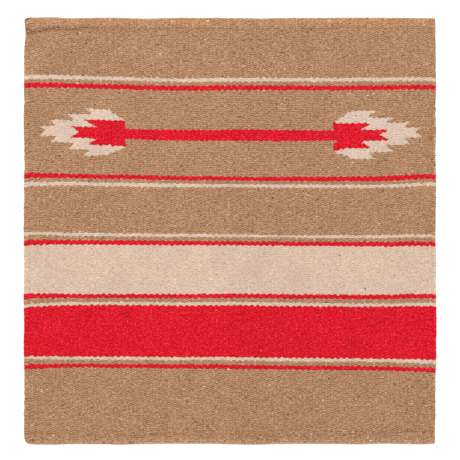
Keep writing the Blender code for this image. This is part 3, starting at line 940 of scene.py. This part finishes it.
# Arrow panel
# The tan weft stops where the arrow lies and turns back round the warps there, as tapestry
# is woven. It comes in an upper and a lower length, which meet along the arrow's shaft.
SHAFT = (  # outline in warps to the right of the middle and courses above the panel's foot
    (-36, 43.3), (-17, 43), (0, 43.6), (17, 43.5), (36, 42.8), (36, 33.9), (17, 33.4), (0, 33.5),
    (-17, 33.3), (-36, 33.5))
HEADS = {  # outlines in warps out from the middle and courses above the panel's foot
    "left": (
        (34.9, 50.6), (35.8, 51.3), (45.8, 51), (48.7, 51.2), (48.7, 50.4), (47.6, 49.7),
        (46.9, 47.9), (45.6, 45.9), (44.1, 44.7), (53.1, 44.9), (51.6, 42.2), (50.6, 39.8),
        (51.6, 37.5), (53.4, 35.2), (53.2, 34.5), (48.9, 34.4), (45.5, 33.8), (44.4, 34.5),
        (45.2, 32.5), (46.5, 30.4), (47.4, 29.2), (46.6, 27.8), (41.5, 27.7), (39.2, 27.2),
        (34.7, 27), (34.9, 30)),
    "right": (
        (34.6, 51.1), (35.3, 50.2), (45.6, 50), (47.1, 48.4), (45.7, 46.6), (43.9, 44.3),
        (44.3, 43.6), (51.7, 43.3), (52.9, 43.5), (52.6, 41.8), (51.3, 39.9), (50.3, 38.8),
        (51.3, 36.6), (53.3, 33.8), (52.3, 33.2), (45.6, 33.1), (44.3, 32.6), (44.4, 31.7),
        (45.6, 29.6), (47.1, 27.7), (46.7, 26.3), (38.9, 26.3), (36.9, 25.2), (34.9, 24),
        (34.8, 31.1), (36.4, 32.6), (35.6, 34.5), (34.9, 34.6)),
}
FEATHERS = {
    "left": (
        (35, 51.4), (37.5, 56.1), (39.5, 58.9), (40.5, 61.7), (46.7, 61.7), (49.1, 63),
        (47.8, 60.3), (46.5, 58.5), (46.6, 56.6), (53.9, 56.4), (54.5, 55.2), (53.4, 54),
        (52.7, 52.1), (52.6, 50.5), (60.1, 50.5), (59.3, 48.3), (58.3, 45), (64.1, 44.6),
        (61.6, 40.6), (64.1, 35.5), (58, 35), (58.4, 33.6), (59.4, 31.8), (60.5, 29.2),
        (58.9, 29.8), (52.2, 29.8), (52.9, 27.1), (53.9, 25), (54, 23.5), (49.5, 23.7), (46.7, 23),
        (48.2, 20.5), (49.3, 17.4), (40.5, 18.2), (40.4, 19.5), (37.1, 23.3), (35, 26.1),
        (36.5, 29), (36.5, 49)),
    "right": (
        (35, 51.2), (37.3, 55), (38.9, 58.4), (40.6, 61), (42.6, 61.6), (49.1, 61.5), (48.3, 59.6),
        (47, 57.9), (46.8, 56.2), (46.3, 55.4), (49, 54.7), (54.8, 54.4), (54, 52.6), (53, 51.2),
        (52.7, 49.6), (58, 49.3), (60.8, 50), (60, 48.3), (59, 46.7), (58.6, 44.5), (64.2, 44.2),
        (62.7, 41.5), (62.4, 40.3), (62.7, 38.7), (64.5, 36.4), (64.5, 35), (58.4, 35),
        (58.7, 33.8), (59.7, 31.8), (60.5, 30), (60.5, 29.4), (55.7, 29.3), (52.7, 28.7),
        (53, 26.7), (54.2, 25), (55.1, 23.2), (54.4, 22.4), (50.3, 22.4), (46.6, 21.6),
        (47.2, 19.7), (48, 18), (49.1, 17.1), (49.1, 15.9), (41, 16.2), (39.6, 18.6), (37.3, 21),
        (35.3, 22.2), (35.2, 24), (37, 28), (37, 48)),
}
panel_first = first_rows["arrow_panel"]
panel_rows = first_rows["red_line_2"] - panel_first
station_x = np.interp((np.arange(COLUMNS * ALONG) + 0.5) / ALONG, np.arange(COLUMNS + 1), ribs)
level_courses = np.interp((np.arange(ROWS * ACROSS) + 0.5) / ACROSS, np.arange(ROWS + 1),
                          row_courses)


def inside(outline, out, up):
    """Which places lie inside a closed outline."""
    found = np.zeros(np.broadcast(out, up).shape, bool)
    for (a, low), (b, high) in zip(outline, outline[1:] + outline[:1]):
        if low != high:
            crossed = (low > up) != (high > up)
            found ^= crossed & (out < a + (b - a) * (up - low) / (high - low))
    return found


def arrow_plan():
    """What each face of the panel belongs to."""
    warps = station_x[:, None] / WARP_PITCH
    up = row_courses[panel_first + panel_rows] - level_courses[None, :]
    plan = np.full((len(station_x), len(level_courses)), "tan", "<U8")
    plan[inside(SHAFT, warps, up)] = "shaft"
    for part, outlines in (("feathers", FEATHERS), ("head", HEADS)):
        for side, half in (("left", station_x < 0), ("right", station_x > 0)):
            plan[inside(outlines[side], np.abs(warps), up) & half[:, None]] = part
    return plan


def without_loose_corners(plan):
    """The plan with no two faces of a piece that meet at a corner alone."""
    while True:
        a, b = plan[:-1, :-1], plan[1:, :-1]
        c, d = plan[:-1, 1:], plan[1:, 1:]
        falling = (a == d) & (a != b) & (a != c)
        rising = (b == c) & (b != a) & (b != d) & ~falling
        if not (falling.any() or rising.any()):
            return plan
        for k, row in np.argwhere(falling):
            plan[k + 1, row] = plan[k, row]
        for k, row in np.argwhere(rising):
            plan[k, row] = plan[k + 1, row]


plan = without_loose_corners(arrow_plan())
arrow_seams = NO_SEAMS.copy()
beside, above = plan[1:] != plan[:-1], plan[:, 1:] != plan[:, :-1]
arrow_seams[1:-1, 1:] |= beside
arrow_seams[1:-1, :-1] |= beside
arrow_seams[1:, 1:-1] |= above
arrow_seams[:-1, 1:-1] |= above
shaft_levels = np.nonzero((plan == "shaft").any(0))[0]
shaft_row = int((shaft_levels[0] + shaft_levels[-1] + 1) / 2 / ACROSS)

PANEL_LENGTHS = (("arrow_panel_upper", panel_first, shaft_row),
                 ("arrow_panel_lower", shaft_row, panel_first + panel_rows))
for name, first, last in PANEL_LENGTHS:
    stripe = woven(name, first, last - first, WOOLS["tan"], plan == "tan", arrow_seams)
    nodes = ("arrow_panel_left", "arrow_panel_right") if first == panel_first else ()
    declare(stripe, "tan_weft", *nodes)

# Arrow
# Tapestry in red and cream, whose wefts turn back where they meet the tan. A red shaft
# runs from head to head, and each red head lies in a set of barbed cream feathers.
shaft = woven("arrow_shaft", panel_first, panel_rows, WOOLS["red"], plan == "shaft",
              arrow_seams)
declare(shaft, "red_weft", "arrow_shaft_left", "arrow_shaft_right")
left_stations = (station_x < 0)[:, None]
for side, half in (("left", left_stations), ("right", ~left_stations)):
    for part, yarn_name in (("head", "red"), ("feathers", "pale cream")):
        end = woven(f"{side}_arrow_{part}", panel_first, panel_rows, WOOLS[yarn_name],
                    (plan == part) & half, arrow_seams)
        declare(end, SLOTS[yarn_name], f"arrow_{part}_{side}", body=f"{side}_half")

# Stray fibres
# Neps: small knots and odd fibres of other wools that came through the carding and show
# here and there. The dark start of the warp yarn is tied in round the top left corner.
NEPS = {  # colour, yarn, then millimetres right and down from the top left corner, length, turn
    "brown": ((0.045, 0.024, 0.014), "tan",
              ((674, 533, 3.4, 10), (757, 772, 3.8, -20), (9, 208, 3.6, 5), (779, 380, 3.4, 35),
               (532, 648, 3.6, -15), (552, 342, 3.0, 20), (623, 468, 3.0, -30), (814, 354, 3.0, 0))),
    "mustard": ((0.52, 0.30, 0.035), "tan",
                ((725, 342, 4.4, -25), (111, 170, 4.0, 20), (530, 160, 3.6, 10), (700, 502, 3.4, 0),
                 (-0.5, 781, 4.5, 15))),
    "teal": ((0.10, 0.19, 0.15), "tan", ((378, 768, 4.4, 15),)),
    "pale": ((0.86, 0.70, 0.56), "cream",
             ((358, 42, 4.4, -15), (500, 360, 3.6, 20), (105, 128, 9.0, -24))),
    "scarlet": ((0.78, 0.012, 0.03), "red", ((648, 498, 3.6, 35), (128, 181, 3.8, -20))),
}
NEP_WIDTH = 0.0015
NEP_HEIGHT = 0.0009
LOOSE_FIBRES = 1400  # in a metre of loose wool
LOOSE_LIGHT = (0.5, 1.5)  # of the wool's colour: painted shade in its gaps and painted highlight on its fibres


def loose_wool(name, colour):
    """Wool that isn't drawn into the cloth: painted highlight on its fibres and painted shade in the
    gaps between them.
    """
    material, tree, shader = principled(name, roughness=0.95, shine=WOOL_SHINE)
    place = tree.nodes.new("ShaderNodeTexCoord").outputs["Object"]
    fibres = noise(tree, vector_scaled(tree, place, LOOSE_FIBRES), 3.0, 0.7)
    # Painted shade in the gaps and painted highlight on the fibres, after the bump's own noise
    dim, pale = ((*(part * share for part in colour), 1) for share in LOOSE_LIGHT)
    tone = blended(tree, ramp(tree, fibres, 0.3, 0.7), dim, pale)
    wired(tree, shader, {"Base Color": tone})
    bumped(tree, shader, fibres, strength=0.7, distance=0.0004)
    return material


def neps(name, colour, yarn_name, places):
    """All neps of one wool, as balls drawn out along their turn and half sunk in the face."""
    bm = bmesh.new()
    for right, down, length, turn in places:
        x, y = right / 1000 - HALF_WIDTH, HALF_LENGTH - down / 1000
        on_top = abs(x) < HALF_WIDTH - CROWN
        place = Matrix.Translation((x, y, MIDDLE + (CROWN if on_top else 0)))
        place = place @ Matrix.Rotation(math.radians(turn), 4, "Z")
        shape = Matrix.Diagonal((length / 2000, NEP_WIDTH / 2, NEP_HEIGHT / 2, 1))
        bmesh.ops.create_icosphere(bm, subdivisions=2, radius=1, matrix=place @ shape)
    mesh = bpy.data.meshes.new(f"{name}_neps")
    bm.to_mesh(mesh)
    bm.free()
    mesh.shade_smooth()
    mesh.materials.append(loose_wool(f"{name}_neps", colour))
    declare(in_scene(f"{name}_neps", mesh), SLOTS[yarn_name])


for name, kind in NEPS.items():
    neps(name, *kind)

CORNER_YARN = (  # millimetres right, down and above the middle of the cloth
    (0.6, 8.0, 1.4), (2.2, 5.8, 3.0), (5.0, 3.8, 3.2), (8.5, 1.8, 2.7), (12.5, 0.5, 2.1),
    (16.0, 0.4, 1.4))
CORNER_YARN_RADIUS = 0.0007
right, down, up = np.array(CORNER_YARN).T / 1000
corner_route = np.stack((*wandered(right - HALF_WIDTH, HALF_LENGTH - down), MIDDLE + up), 1)
corner_wool = loose_wool("dark_wool", (0.050, 0.034, 0.042))
corner_yarn = yarn("corner_yarn", corner_route, CORNER_YARN_RADIUS, YARN_SIDES, corner_wool)
declare(corner_yarn, "warp_yarn", body="left_half")

# The finished cloth
# One sheet, laid flat. The widths and heights of its faces, at the sizes that they have on the loom.
widths = np.diff(ribs).repeat(ALONG)[:, None] / ALONG
heights = np.diff(row_courses).repeat(ACROSS)[None, :] * COURSE / ACROSS
